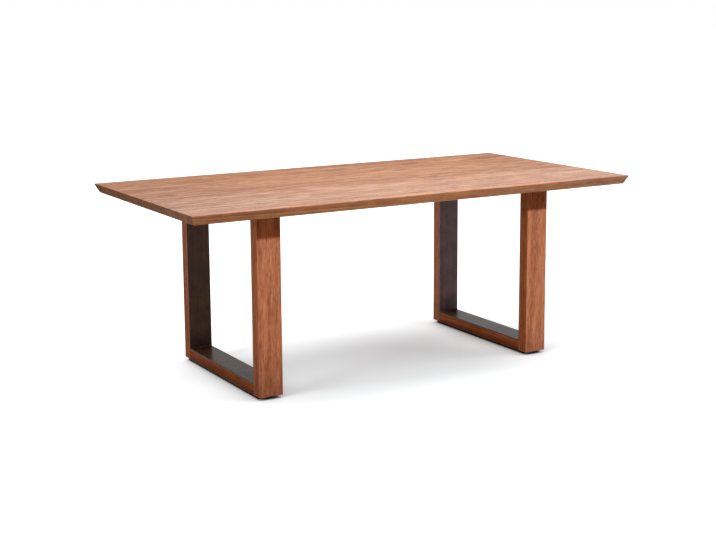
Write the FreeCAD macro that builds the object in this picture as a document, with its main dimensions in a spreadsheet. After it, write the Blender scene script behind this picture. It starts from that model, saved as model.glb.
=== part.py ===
import FreeCAD, Part
import math
import os
import Sketcher

# U-frame dining table in solid oak and black flat steel, in millimetres.
# X runs along the table, Y across it with the front at minus Y, Z up from the floor.
# The origin is on the floor under the middle of the tabletop.

# Counts that fix how many pieces or sketch corners are drawn.
STAVE_COUNT = 8
FINGER_COUNT = 10

# Driving dimensions: alias and value.
DIMENSIONS = [
    # Tabletop with an undercut bevel all round
    ("top_length", 2000),
    ("top_width", 1000),
    ("table_height", 760),
    ("top_thickness", 36),
    ("bevel_inset", 16),
    ("edge_land", 4),
    ("top_arris_radius", 1.2),
    ("stave_count", STAVE_COUNT),
    # Finger joint that lengthens the front row of staves
    ("end_joint_x", 690),
    ("finger_length", 20),
    ("finger_count", FINGER_COUNT),
    # U frames
    ("frame_setback", 320),
    ("frame_width", 100),
    ("frame_depth", 710),
    ("upright_thickness", 48),
    ("rail_height", 42),
    ("wood_arris_radius", 1.5),
    # Flat-steel ring
    ("liner_thickness", 5),
    ("liner_arris_radius", 0.8),
    # Foot
    ("runner_height", 9),
    ("runner_side_inset", 4),
    ("runner_end_inset", 26),
    ("runner_corner_radius", 3),
    ("felt_width", 64),
    ("felt_length", 60),
    ("felt_thickness", 3),
    ("felt_end_setback", 6),
    # Loose tenons between rail and upright, glued into mortises of their own section
    ("tenon_width", 64),
    ("tenon_thickness", 14),
    ("tenon_length", 60),
    ("blind_extra_depth", 2),
    # Wide-head bolts from the steel ring into threaded inserts in the tabletop
    ("bolt_diameter", 8),
    ("bolt_clearance", 0.5),
    ("bolt_length", 20),
    ("bolt_head_diameter", 18),
    ("bolt_head_height", 3.5),
    ("bolt_socket", 5),
    ("bolt_socket_depth", 2.5),
    ("bolt_spread", 60),
    ("bolt_row_y", 280),
    ("bolt_slot_width", 9),
    ("bolt_slot_length", 16),
    ("insert_diameter", 13),
    ("insert_length", 20),
    # Anti-warp batten, a steel channel let into the underside
    ("batten_width", 40),
    ("batten_height", 10),
    ("batten_wall", 3),
    ("batten_end_gap", 5),
    ("groove_width", 42),
    ("groove_depth", 14),
    ("batten_slot_width", 6),
    ("batten_slot_length", 14),
]

doc = FreeCAD.newDocument("UFrameDiningTable")
sheet = doc.addObject("Spreadsheet::Sheet", "dims")
for row_number, (alias, value) in enumerate(DIMENSIONS, start=1):
    sheet.set("A%d" % row_number, alias)
    sheet.set("B%d" % row_number, str(value))
    sheet.setAlias("B%d" % row_number, alias)
doc.recompute()

# Levels and lengths that follow from the driving dimensions.
FOOT = "(dims.runner_height + dims.felt_thickness)"
UNDERSIDE = "(dims.table_height - dims.top_thickness)"
UPRIGHT_LENGTH = "(%s - %s)" % (UNDERSIDE, FOOT)
STAVE_WIDTH = "(dims.top_width / dims.stave_count)"
BEVEL_RISE = "(dims.top_thickness - dims.edge_land)"
FRAME_X = "(dims.top_length / 2 - dims.frame_setback - dims.frame_width / 2)"
RING_WIDTH = "(dims.frame_depth - 2 * dims.upright_thickness)"
RING_BOTTOM = "(%s + dims.rail_height)" % FOOT
RING_HEIGHT = "(%s - %s)" % (UNDERSIDE, RING_BOTTOM)
MORTISE_DEPTH = "(dims.tenon_length / 2 + dims.blind_extra_depth)"
BATTEN_LENGTH = "(dims.top_width - 2 * %s - 2 * dims.batten_end_gap)" % STAVE_WIDTH

# Bolt places on one frame, measured from the middle of the frame.
BOLT_PLACES = [
    ("-dims.bolt_spread / 2", "-dims.bolt_row_y"),
    ("dims.bolt_spread / 2", "-dims.bolt_row_y"),
    ("-dims.bolt_spread / 2", "dims.bolt_row_y"),
    ("dims.bolt_spread / 2", "dims.bolt_row_y"),
]
FRAMES = [("left", "-" + FRAME_X), ("right", FRAME_X)]

# How close two coordinates are when an edge counts as lying on a plane.
ON_PLANE = 0.01

Z_AXIS = FreeCAD.Vector(0, 0, 1)
UPRIGHT_STANCE = FreeCAD.Rotation()
HALF_TURN = FreeCAD.Rotation(Z_AXIS, 180)

node_objects = []


def number(expression):
    """Value of an expression on the dimension sheet."""
    return float(sheet.evalExpression(expression))


def place(thing, where, rotation):
    """Bind an object's place to three expressions and give it a fixed rotation."""
    thing.Placement = FreeCAD.Placement(FreeCAD.Vector(), rotation)
    for axis, expression in zip("xyz", where):
        thing.setExpression("Placement.Base.%s" % axis, expression)


def new_body(label, where=("0", "0", "0"), rotation=UPRIGHT_STANCE, is_node=True):
    """Start a body at a place; a node body is written to its own file."""
    body = doc.addObject("PartDesign::Body", label)
    place(body, where, rotation)
    if is_node:
        node_objects.append(body)
    return body


def new_sketch(body, plane, name, offset="0"):
    """Sketch on one of the body's own origin planes, moved along the plane's normal."""
    sketch = body.newObject("Sketcher::SketchObject", "%s_%s" % (body.Name, name))
    support = next(face for face in body.Origin.OriginFeatures if face.Role == plane)
    sketch.AttachmentSupport = [(support, "")]
    sketch.MapMode = "FlatFace"
    sketch.setExpression("AttachmentOffset.Base.z", offset)
    return sketch


def pin_point(sketch, geometry, point, horizontal, vertical):
    """Fix a sketch point by two expressions measured from the sketch origin."""
    for kind, expression in (("DistanceX", horizontal), ("DistanceY", vertical)):
        rule = Sketcher.Constraint(kind, -1, 1, geometry, point, number(expression))
        index = sketch.addConstraint(rule)
        sketch.setExpression("Constraints[%d]" % index, expression)


def polygon(sketch, corners):
    """Closed outline through corners given as pairs of expressions."""
    first = sketch.GeometryCount
    points = [FreeCAD.Vector(number(across), number(up), 0) for across, up in corners]
    count = len(points)
    for i in range(count):
        sketch.addGeometry(Part.LineSegment(points[i], points[(i + 1) % count]))
    for i in range(count):
        follower = first + (i + 1) % count
        sketch.addConstraint(Sketcher.Constraint("Coincident", first + i, 2, follower, 1))
    for i, (across, up) in enumerate(corners):
        pin_point(sketch, first + i, 1, across, up)


def rectangle(sketch, left, right, low, high):
    """Rectangle between two pairs of expressions."""
    polygon(sketch, [(left, low), (right, low), (right, high), (left, high)])


def circle(sketch, across, up, diameter):
    """Circle with a bound centre and diameter."""
    centre = FreeCAD.Vector(number(across), number(up), 0)
    index = sketch.addGeometry(Part.Circle(centre, Z_AXIS, number(diameter) / 2))
    pin_point(sketch, index, 3, across, up)
    rule = sketch.addConstraint(Sketcher.Constraint("Diameter", index, number(diameter)))
    sketch.setExpression("Constraints[%d]" % rule, diameter)


def slot(sketch, across, up, width, length):
    """Round-ended slot whose long axis is the sketch's vertical."""
    radius = number(width) / 2
    middle_x = number(across)
    half_span = (number(length) - number(width)) / 2
    high = FreeCAD.Vector(middle_x, number(up) + half_span, 0)
    low = FreeCAD.Vector(middle_x, number(up) - half_span, 0)
    side = FreeCAD.Vector(radius, 0, 0)
    top_arc = sketch.addGeometry(Part.ArcOfCircle(Part.Circle(high, Z_AXIS, radius), 0, math.pi))
    left_line = sketch.addGeometry(Part.LineSegment(high - side, low - side))
    low_arc = sketch.addGeometry(Part.ArcOfCircle(Part.Circle(low, Z_AXIS, radius), math.pi, 2 * math.pi))
    right_line = sketch.addGeometry(Part.LineSegment(low + side, high + side))
    ring = [top_arc, left_line, low_arc, right_line]
    for i in range(4):
        sketch.addConstraint(Sketcher.Constraint("Tangent", ring[i], 2, ring[(i + 1) % 4], 1))
    span = "(%s - %s) / 2" % (length, width)
    pin_point(sketch, top_arc, 3, across, "%s + %s" % (up, span))
    pin_point(sketch, low_arc, 3, across, "%s - %s" % (up, span))
    rule = sketch.addConstraint(Sketcher.Constraint("Radius", top_arc, radius))
    sketch.setExpression("Constraints[%d]" % rule, "%s / 2" % width)


def pad(body, sketch, length, backward=False, symmetric=False):
    """Extrude a sketch along its normal, against it, or both ways."""
    feature = body.newObject("PartDesign::Pad", sketch.Name + "_pad")
    feature.Profile = sketch
    feature.Reversed = backward
    if symmetric:
        feature.SideType = "Symmetric"
    feature.setExpression("Length", length)
    doc.recompute()
    return feature


def pocket(body, sketch, depth=None, forward=False, both_ways=False):
    """Cut a sketch against its normal (or along it); no depth means right through."""
    volume_before = body.Shape.Volume
    feature = body.newObject("PartDesign::Pocket", sketch.Name + "_pocket")
    feature.Profile = sketch
    feature.Reversed = forward
    if both_ways:
        feature.SideType = "Symmetric"
    if depth is None:
        feature.Type = "ThroughAll"
    else:
        feature.setExpression("Length", depth)
    doc.recompute()
    if body.Shape.Volume >= volume_before:
        raise RuntimeError("%s removed nothing" % feature.Name)
    return feature


def round_edges(body, keep, radius, name):
    """Fillet the edges of the body's tip that the test keeps."""
    tip = body.Tip
    names = []
    for index, edge in enumerate(tip.Shape.Edges, start=1):
        box = edge.BoundBox
        if keep(box):
            names.append("Edge%d" % index)
    if not names:
        raise RuntimeError("no edges found for %s" % name)
    feature = body.newObject("PartDesign::Fillet", "%s_%s" % (body.Name, name))
    feature.Base = (tip, names)
    feature.setExpression("Radius", radius)
    doc.recompute()
    return feature


def near(value, target):
    """True where a coordinate is on a target plane."""
    return abs(value - target) < ON_PLANE


def flat_at(low, high, target):
    """True where an edge lies wholly in the plane at a target coordinate."""
    return near(low, target) and near(high, target)


def group(label, source, places):
    """A node of equal separate pieces, each linked to one source piece and placed on its own."""
    links = []
    for i, (where, rotation) in enumerate(places, start=1):
        link = doc.addObject("App::Link", "%s_%d" % (label, i))
        link.LinkedObject = source
        link.LinkTransform = False
        place(link, where, rotation)
        links.append(link)
    compound = doc.addObject("Part::Compound", label)
    compound.Links = links
    node_objects.append(compound)
    return compound


# Tabletop staves

def stave_row(row, label):
    """One full-length stave; local Y starts at its front edge, local Z at the underside."""
    half = "dims.top_length / 2"
    front = "(-dims.top_width / 2 + %d * %s)" % (row, STAVE_WIDTH)
    body = new_body(label, ("0", front, UNDERSIDE))
    section = new_sketch(body, "XZ_Plane", "side")
    polygon(section, [
        ("-%s + dims.bevel_inset" % half, "0"),
        ("%s - dims.bevel_inset" % half, "0"),
        (half, BEVEL_RISE),
        (half, "dims.top_thickness"),
        ("-" + half, "dims.top_thickness"),
        ("-" + half, BEVEL_RISE),
    ])
    pad(body, section, STAVE_WIDTH, backward=True)
    if row == 0:
        bevel = new_sketch(body, "YZ_Plane", "bevel")
        polygon(bevel, [("0", "0"), ("dims.bevel_inset", "0"), ("0", BEVEL_RISE)])
        pocket(body, bevel, both_ways=True)
    if row == STAVE_COUNT - 1:
        bevel = new_sketch(body, "YZ_Plane", "bevel")
        inner = "%s - dims.bevel_inset" % STAVE_WIDTH
        polygon(bevel, [(inner, "0"), (STAVE_WIDTH, "0"), (STAVE_WIDTH, BEVEL_RISE)])
        pocket(body, bevel, both_ways=True)
    return body


def cut_batten_groove(body):
    """Groove across the underside for the batten."""
    groove = new_sketch(body, "XY_Plane", "groove")
    rectangle(groove, "-dims.groove_width / 2", "dims.groove_width / 2", "0", STAVE_WIDTH)
    pocket(body, groove, "dims.groove_depth", forward=True)


def cut_insert_bores(body, row):
    """Blind bores in the underside for the threaded inserts that fall in this row."""
    front_value = number("-dims.top_width / 2 + %d * %s" % (row, STAVE_WIDTH))
    rear_value = front_value + number(STAVE_WIDTH)
    hits = []
    for side, frame_x in FRAMES:
        for bolt_x, bolt_y in BOLT_PLACES:
            if front_value < number(bolt_y) < rear_value:
                local_y = "%s + dims.top_width / 2 - %d * %s" % (bolt_y, row, STAVE_WIDTH)
                hits.append(("%s + %s" % (frame_x, bolt_x), local_y))
    if not hits:
        return
    bores = new_sketch(body, "XY_Plane", "insert_bores")
    for across, along in hits:
        circle(bores, across, along, "dims.insert_diameter")
    pocket(body, bores, "dims.insert_length + dims.blind_extra_depth", forward=True)


def round_top_arris(body, row):
    """Ease the top edge where it is on the outside of the table, and the corners of its land."""
    half = number("dims.top_length / 2")
    top = number("dims.top_thickness")
    outer_y = {0: 0.0, STAVE_COUNT - 1: number(STAVE_WIDTH)}.get(row)

    def outside(box):
        at_end = flat_at(box.XMin, box.XMax, half) or flat_at(box.XMin, box.XMax, -half)
        at_side = outer_y is not None and flat_at(box.YMin, box.YMax, outer_y)
        on_top = flat_at(box.ZMin, box.ZMax, top)
        corner_land = at_end and at_side and near(box.ZMax, top)
        return (on_top and (at_end or at_side)) or corner_land

    round_edges(body, outside, "dims.top_arris_radius", "arris")


def finger_line():
    """Corners of the zigzag joint line across the front row, from its front edge to its back."""
    corners = []
    for step in range(2 * FINGER_COUNT + 1):
        swing = "+" if step % 2 else "-"
        across = "dims.end_joint_x %s dims.finger_length / 2" % swing
        along = "%s * %d / (2 * dims.finger_count)" % (STAVE_WIDTH, step)
        corners.append((across, along))
    return corners


for row in range(STAVE_COUNT):
    is_edge_row = row in (0, STAVE_COUNT - 1)
    if row == 0:
        # The front row is two staves; each keeps its own side of the finger joint.
        for part_name, far_x in (("long", "dims.top_length"), ("short", "-dims.top_length")):
            stave = stave_row(row, "tabletop_stave_1_" + part_name)
            waste = new_sketch(stave, "XY_Plane", "finger_joint")
            polygon(waste, finger_line() + [(far_x, STAVE_WIDTH), (far_x, "0")])
            pocket(stave, waste, forward=True)
            round_top_arris(stave, row)
    else:
        stave = stave_row(row, "tabletop_stave_%d" % (row + 1))
        if not is_edge_row:
            cut_batten_groove(stave)
        cut_insert_bores(stave, row)
        round_top_arris(stave, row)


# U frames: uprights, rails, steel rings and runners

def tenon_section(sketch):
    """Section of a loose tenon, at mid height of the rail."""
    half_width = "dims.tenon_width / 2"
    middle = "dims.rail_height / 2"
    low = middle + " - dims.tenon_thickness / 2"
    high = middle + " + dims.tenon_thickness / 2"
    rectangle(sketch, "-" + half_width, half_width, low, high)


def make_upright(label, where, rotation):
    """Upright with its outer face at local Y 0 and a mortise low in its inner face."""
    body = new_body(label, where, rotation)
    half = "dims.frame_width / 2"
    outline = new_sketch(body, "XY_Plane", "section")
    rectangle(outline, "-" + half, half, "0", "dims.upright_thickness")
    pad(body, outline, UPRIGHT_LENGTH)
    mortise = new_sketch(body, "XZ_Plane", "mortise", "-dims.upright_thickness")
    tenon_section(mortise)
    pocket(body, mortise, MORTISE_DEPTH, forward=True)
    half_value = number(half)

    def outside(box):
        on_outer_face = flat_at(box.YMin, box.YMax, 0)
        on_side = flat_at(box.XMin, box.XMax, half_value) or flat_at(box.XMin, box.XMax, -half_value)
        at_bottom = flat_at(box.ZMin, box.ZMax, 0)
        stands = box.ZLength > 1
        return (on_outer_face and on_side and stands) or (at_bottom and (on_outer_face or on_side))

    round_edges(body, outside, "dims.wood_arris_radius", "arris")
    return body


def make_rail(label, frame_x):
    """Floor rail between the uprights, mortised at both ends."""
    body = new_body(label, (frame_x, "-%s / 2" % RING_WIDTH, FOOT))
    half = "dims.frame_width / 2"
    outline = new_sketch(body, "XY_Plane", "section")
    rectangle(outline, "-" + half, half, "0", RING_WIDTH)
    pad(body, outline, "dims.rail_height")
    for end_name, offset, forward in (("front", "0", False), ("rear", "-" + RING_WIDTH, True)):
        mortise = new_sketch(body, "XZ_Plane", "mortise_" + end_name, offset)
        tenon_section(mortise)
        pocket(body, mortise, MORTISE_DEPTH, forward=forward)
    half_value = number(half)

    def below(box):
        on_side = flat_at(box.XMin, box.XMax, half_value) or flat_at(box.XMin, box.XMax, -half_value)
        return on_side and flat_at(box.ZMin, box.ZMax, 0)

    round_edges(body, below, "dims.wood_arris_radius", "arris")
    return body


def make_flat(label, where, rotation, corners, inner):
    """Mitred flat of the steel ring; the long edges of its inner face are eased."""
    body = new_body(label, where, rotation)
    section = new_sketch(body, "YZ_Plane", "section")
    polygon(section, corners)
    pad(body, section, "dims.frame_width", symmetric=True)
    half_value = number("dims.frame_width / 2")

    def inner_long(box):
        on_side = flat_at(box.XMin, box.XMax, half_value) or flat_at(box.XMin, box.XMax, -half_value)
        return on_side and inner(box)

    round_edges(body, inner_long, "dims.liner_arris_radius", "arris")
    return body


def make_ring(side, frame_x):
    """Four mitred flats that line one frame; the top flat has slots for the bolts."""
    gauge = "dims.liner_thickness"
    gauge_value = number(gauge)
    front = "-%s / 2" % RING_WIDTH
    rear = "%s / 2" % RING_WIDTH
    standing = [
        ("0", "0"),
        (gauge, gauge),
        (gauge, "%s - %s" % (RING_HEIGHT, gauge)),
        ("0", RING_HEIGHT),
    ]
    lying = [
        ("0", "0"),
        (RING_WIDTH, "0"),
        ("%s - %s" % (RING_WIDTH, gauge), gauge),
        (gauge, gauge),
    ]
    hanging = [
        (gauge, "0"),
        ("%s - %s" % (RING_WIDTH, gauge), "0"),
        (RING_WIDTH, gauge),
        ("0", gauge),
    ]

    def stands_inside(box):
        return flat_at(box.YMin, box.YMax, gauge_value)

    def lies_inside(box):
        return flat_at(box.ZMin, box.ZMax, gauge_value)

    def hangs_inside(box):
        return flat_at(box.ZMin, box.ZMax, 0)

    top_level = "%s - %s" % (UNDERSIDE, gauge)
    front_foot = (frame_x, front, RING_BOTTOM)
    rear_foot = (frame_x, rear, RING_BOTTOM)
    front_head = (frame_x, front, top_level)
    make_flat(side + "_liner_front", front_foot, UPRIGHT_STANCE, standing, stands_inside)
    make_flat(side + "_liner_rear", rear_foot, HALF_TURN, standing, stands_inside)
    make_flat(side + "_liner_base", front_foot, UPRIGHT_STANCE, lying, lies_inside)
    bar = make_flat(side + "_liner_top_bar", front_head, UPRIGHT_STANCE, hanging, hangs_inside)
    slots = new_sketch(bar, "XY_Plane", "bolt_slots")
    for bolt_x, bolt_y in BOLT_PLACES:
        along = "%s / 2 + %s" % (RING_WIDTH, bolt_y)
        slot(slots, bolt_x, along, "dims.bolt_slot_width", "dims.bolt_slot_length")
    pocket(bar, slots, both_ways=True)


def make_runner(label, frame_x):
    """Black runner under the rail and the ends of the uprights, with rounded corners."""
    body = new_body(label, (frame_x, "0", "dims.felt_thickness"))
    half_width = "(dims.frame_width / 2 - dims.runner_side_inset)"
    half_length = "(dims.frame_depth / 2 - dims.runner_end_inset)"
    outline = new_sketch(body, "XY_Plane", "outline")
    rectangle(outline, "-" + half_width, half_width, "-" + half_length, half_length)
    pad(body, outline, "dims.runner_height")
    round_edges(body, lambda box: box.ZLength > 1, "dims.runner_corner_radius", "corners")
    return body


for side, frame_x in FRAMES:
    half_depth = "dims.frame_depth / 2"
    make_upright(side + "_upright_front", (frame_x, "-" + half_depth, FOOT), UPRIGHT_STANCE)
    make_upright(side + "_upright_rear", (frame_x, half_depth, FOOT), HALF_TURN)
    make_rail(side + "_floor_rail", frame_x)
    make_ring(side, frame_x)
    make_runner(side + "_floor_runner", frame_x)


# Small pieces, each drawn once and then placed in groups

loose_tenon = new_body("loose_tenon", is_node=False)
tenon_outline = new_sketch(loose_tenon, "XZ_Plane", "section")
tenon_section(tenon_outline)
pad(loose_tenon, tenon_outline, "dims.tenon_length", symmetric=True)

felt_pad = new_body("felt_pad", is_node=False)
felt_outline = new_sketch(felt_pad, "XY_Plane", "outline")
half_felt = "dims.felt_width / 2"
rectangle(felt_outline, "-" + half_felt, half_felt, "-dims.felt_length / 2", "dims.felt_length / 2")
pad(felt_pad, felt_outline, "dims.felt_thickness")

insert = new_body("insert", is_node=False)
insert_section = new_sketch(insert, "XY_Plane", "section")
circle(insert_section, "0", "0", "dims.insert_diameter")
circle(insert_section, "0", "0", "dims.bolt_diameter + dims.bolt_clearance")
pad(insert, insert_section, "dims.insert_length")

# Wide-head bolt: its seat is at local Z 0, the shank points up and the head has a hexagon socket.
bolt = new_body("bolt", is_node=False)
shank_section = new_sketch(bolt, "XY_Plane", "shank")
circle(shank_section, "0", "0", "dims.bolt_diameter")
pad(bolt, shank_section, "dims.bolt_length")
head_section = new_sketch(bolt, "XY_Plane", "head")
circle(head_section, "0", "0", "dims.bolt_head_diameter")
pad(bolt, head_section, "dims.bolt_head_height", backward=True)
socket = new_sketch(bolt, "XY_Plane", "socket", "-dims.bolt_head_height")
half_flat = "dims.bolt_socket / 2"
corner = "dims.bolt_socket / sqrt(3)"
polygon(socket, [
    (corner, "0"),
    (corner + " / 2", half_flat),
    ("-%s / 2" % corner, half_flat),
    ("-" + corner, "0"),
    ("-%s / 2" % corner, "-" + half_flat),
    (corner + " / 2", "-" + half_flat),
])
pocket(bolt, socket, "dims.bolt_socket_depth", forward=True)

for side, frame_x in FRAMES:
    joint_y = "%s / 2" % RING_WIDTH
    tenon_places = [((frame_x, sign + joint_y, FOOT), UPRIGHT_STANCE) for sign in ("-", "")]
    group(side + "_rail_tenons", loose_tenon, tenon_places)
    runner_end = "dims.frame_depth / 2 - dims.runner_end_inset"
    felt_y = "(%s - dims.felt_end_setback - dims.felt_length / 2)" % runner_end
    felt_places = [((frame_x, sign + felt_y, "0"), UPRIGHT_STANCE) for sign in ("-", "")]
    group(side + "_felt_pads", felt_pad, felt_places)

bolt_points = []
for side, frame_x in FRAMES:
    for bolt_x, bolt_y in BOLT_PLACES:
        bolt_points.append(("%s + %s" % (frame_x, bolt_x), bolt_y))
seat_level = "%s - dims.liner_thickness" % UNDERSIDE
group("threaded_inserts", insert, [((x, y, UNDERSIDE), UPRIGHT_STANCE) for x, y in bolt_points])
group("top_bolts", bolt, [((x, y, seat_level), UPRIGHT_STANCE) for x, y in bolt_points])


# Anti-warp batten: a steel channel with its web down, and a screw slot at each stave it crosses

batten_level = "(%s + dims.groove_depth - dims.batten_height)" % UNDERSIDE
batten = new_body("anti_warp_batten", ("0", "-%s / 2" % BATTEN_LENGTH, batten_level))
channel = new_sketch(batten, "XZ_Plane", "channel")
flange = "dims.batten_width / 2"
cheek = "(dims.batten_width / 2 - dims.batten_wall)"
polygon(channel, [
    ("-" + flange, "0"),
    (flange, "0"),
    (flange, "dims.batten_height"),
    (cheek, "dims.batten_height"),
    (cheek, "dims.batten_wall"),
    ("-" + cheek, "dims.batten_wall"),
    ("-" + cheek, "dims.batten_height"),
    ("-" + flange, "dims.batten_height"),
])
pad(batten, channel, BATTEN_LENGTH, backward=True)
batten_slots = new_sketch(batten, "XY_Plane", "slots")
for row in range(1, STAVE_COUNT - 1):
    middle = "(-dims.top_width / 2 + %s * %d + %s / 2)" % (STAVE_WIDTH, row, STAVE_WIDTH)
    along = "%s + %s / 2" % (middle, BATTEN_LENGTH)
    slot(batten_slots, "0", along, "dims.batten_slot_width", "dims.batten_slot_length")
pocket(batten, batten_slots, both_ways=True)


# Check every object and write one file for each node

doc.recompute()
for thing in doc.Objects:
    if "Invalid" in thing.State or "Error" in thing.State:
        raise RuntimeError("%s is in state %s" % (thing.Label, thing.State))
os.makedirs("parts", exist_ok=True)
for node in node_objects:
    shape = node.Shape
    if shape.isNull() or not shape.isValid():
        raise RuntimeError("%s has no valid shape" % node.Label)
    shape.exportStep("parts/%s.step" % node.Label)
    box = shape.BoundBox
    spans = (box.XMin, box.XMax, box.YMin, box.YMax, box.ZMin, box.ZMax)
    print(node.Label, len(shape.Solids), ["%.1f" % span for span in spans])
print("%d nodes written" % len(node_objects))
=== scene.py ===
# %% [markdown]
# # A u-frame dining table, dressed for the studio
# The table comes in as a finished set of solids: nine oak staves glued into a top, two oak
# U-frames, and a black steel ring inside each frame. Nothing here moves or reshapes them.
# This lesson gives every solid the surface it has in the workshop, adds the small parts that
# are too fine for the solids, and puts the table in a white studio.

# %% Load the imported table
import math

import bmesh
import bpy
from mathutils import Euler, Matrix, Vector


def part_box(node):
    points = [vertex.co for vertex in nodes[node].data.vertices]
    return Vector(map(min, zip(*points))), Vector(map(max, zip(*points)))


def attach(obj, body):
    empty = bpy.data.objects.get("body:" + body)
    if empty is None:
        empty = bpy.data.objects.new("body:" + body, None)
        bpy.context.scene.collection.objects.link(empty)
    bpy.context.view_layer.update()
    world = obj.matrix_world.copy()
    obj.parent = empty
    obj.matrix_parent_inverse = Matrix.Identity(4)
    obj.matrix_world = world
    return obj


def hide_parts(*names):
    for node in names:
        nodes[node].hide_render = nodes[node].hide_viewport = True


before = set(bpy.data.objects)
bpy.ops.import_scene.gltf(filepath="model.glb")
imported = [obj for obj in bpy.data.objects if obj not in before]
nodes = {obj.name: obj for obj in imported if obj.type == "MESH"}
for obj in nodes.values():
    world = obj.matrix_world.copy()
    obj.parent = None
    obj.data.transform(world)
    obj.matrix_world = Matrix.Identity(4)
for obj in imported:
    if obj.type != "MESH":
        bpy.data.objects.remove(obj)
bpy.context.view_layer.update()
scene = bpy.context.scene
scene.view_settings.view_transform = "Standard"

# %% [markdown]
# ## The camera
# The picture was taken from in front of the left end, from a little above the top, with a long
# lens. A long lens keeps the far end of the table nearly as tall as the near end. The image is
# 716 pixels wide, so the lens follows from the focal length in pixels. A small downward shift
# brings the uprights nearer to plumb, as an architect's camera does. A larger one would push the
# table out of the other views.

# %% Place the camera
IMAGE_WIDTH = 716
FOCAL_PIXELS = 1339.55
SENSOR_WIDTH = 36.0
LENS_SHIFT = -0.06
CAMERA_PLACE = (-2.8269, -4.7696, 1.5119)
CAMERA_TURN = (1.4004, 0.0064, -0.5306)

camera_data = bpy.data.cameras.new("studio_camera")
camera_data.sensor_width = SENSOR_WIDTH
camera_data.lens = FOCAL_PIXELS / IMAGE_WIDTH * SENSOR_WIDTH
camera_data.shift_y = LENS_SHIFT
camera = bpy.data.objects.new("studio_camera", camera_data)
camera.location = CAMERA_PLACE
camera.rotation_euler = CAMERA_TURN
scene.collection.objects.link(camera)
scene.camera = camera
print("lens:", round(camera_data.lens, 2), "mm")

# %% [markdown]
# ## Floor lamps and warm fills
# A product studio lights a table and its floor apart, and so does this one. Three lamps reach the
# floor alone. Warm boards in front and to the left throw light on the uprights. Two paler ones behind
# and to the right keep the far sides readable, and shiny faces don't see those two, so they leave no
# highlights. All of them are suns, because a sun is equally strong all over, so a white floor stays
# white to the horizon.

# %% Hang the suns
WHITE = (1.0, 1.0, 1.0)
WARM_BOARD = (1.0, 0.44, 0.16)
WARM_WALL = (1.0, 0.68, 0.46)
WARM_PAPER = (1.0, 0.86, 0.74)


def hang_sun(name, strength, spread, azimuth, elevation, colour=WHITE):
    """A sun that shines from that azimuth (0 is the front, 90 the right) and elevation, in degrees."""
    lamp = bpy.data.lights.new(name, "SUN")
    lamp.energy = strength
    lamp.angle = math.radians(spread)
    lamp.color = colour
    turn = math.radians(azimuth)
    rise = math.radians(elevation)
    level = math.cos(rise)
    towards = Vector((math.sin(turn) * level, -math.cos(turn) * level, math.sin(rise)))
    hung = bpy.data.objects.new(name, lamp)
    hung.rotation_euler = towards.to_track_quat("Z", "Y").to_euler()
    scene.collection.objects.link(hung)
    return hung


floor_lamps = [
    hang_sun("floor_wash", strength=0.82, spread=80, azimuth=0, elevation=88),
    hang_sun("floor_from_left", strength=1.38, spread=30, azimuth=-80, elevation=28),
    hang_sun("floor_from_right", strength=0.63, spread=30, azimuth=60, elevation=34),
]
near_fills = [
    hang_sun("front_fill", strength=0.88, spread=110, azimuth=-10, elevation=30, colour=WARM_BOARD),
    hang_sun("left_fill", strength=1.05, spread=26, azimuth=-82, elevation=6, colour=WARM_WALL),
]
far_fills = [
    hang_sun("back_fill", strength=1.0, spread=60, azimuth=195, elevation=10, colour=WARM_PAPER),
    hang_sun("right_fill", strength=0.9, spread=60, azimuth=100, elevation=8, colour=WARM_PAPER),
]
for lamp in far_fills:
    lamp.visible_glossy = False
print("suns:", len(floor_lamps + near_fills + far_fills))

# %% [markdown]
# ## Two round lamps near the table
# A round softbox hangs over the top. A small round key lamp stands in front, and its height sets how
# far the shadow of the top's edge falls down the front uprights. These two are area lamps, because a
# lamp that is near lights what is close to it more, and the top of a real table is never evenly lit.

# %% Hang the round lamps
def hang_disk(name, power, width, place, target):
    """A round lamp at that place, aimed at the target."""
    lamp = bpy.data.lights.new(name, "AREA")
    lamp.shape = "DISK"
    lamp.size = width
    lamp.energy = power
    hung = bpy.data.objects.new(name, lamp)
    hung.location = place
    aim = Vector(target) - hung.location
    hung.rotation_euler = aim.to_track_quat("-Z", "Y").to_euler()
    hung.visible_camera = False
    scene.collection.objects.link(hung)
    return hung


overhead = hang_disk(
    "overhead_softbox", power=12.2, width=0.90, place=(0.15, -0.15, 2.35), target=(0.15, -0.15, 0.0))
front_key = hang_disk(
    "front_key", power=105.0, width=0.24, place=(0.40, -3.10, 2.76), target=(0.0, -0.30, 0.50))
print("round lamps:", overhead.name, front_key.name)

# %% [markdown]
# ## Small helpers for building finishes
# A finish is a graph of shader nodes. Typing each node and link by hand is long, so a few helpers
# add a node and fill its inputs. An input that is given a socket gets linked, and any other value
# is typed in. The rest of these helpers are the small sums that every finish needs.

# %% Node helpers
def add_node(tree, kind, inputs=None, **settings):
    """Adds a node, sets its properties and fills or links its inputs."""
    made = tree.nodes.new(kind)
    for name, value in settings.items():
        setattr(made, name, value)
    for name, value in (inputs or {}).items():
        if isinstance(value, bpy.types.NodeSocket):
            tree.links.new(value, made.inputs[name])
        else:
            made.inputs[name].default_value = value
    return made


def calc(tree, operation, first, second=0.0, clamp=False):
    """One step of arithmetic on two numbers or sockets."""
    inputs = {0: first, 1: second}
    return add_node(tree, "ShaderNodeMath", inputs, operation=operation, use_clamp=clamp).outputs[0]


def weigh(tree, value, share):
    """A share of a value."""
    return calc(tree, "MULTIPLY", value, share)


def vector_calc(tree, operation, first, second=(0.0, 0.0, 0.0)):
    """One step of arithmetic on two vectors or sockets; a product or length gives a number."""
    made = add_node(tree, "ShaderNodeVectorMath", {0: first, 1: second}, operation=operation)
    return made.outputs["Value" if operation in ("DOT_PRODUCT", "LENGTH") else "Vector"]


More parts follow.
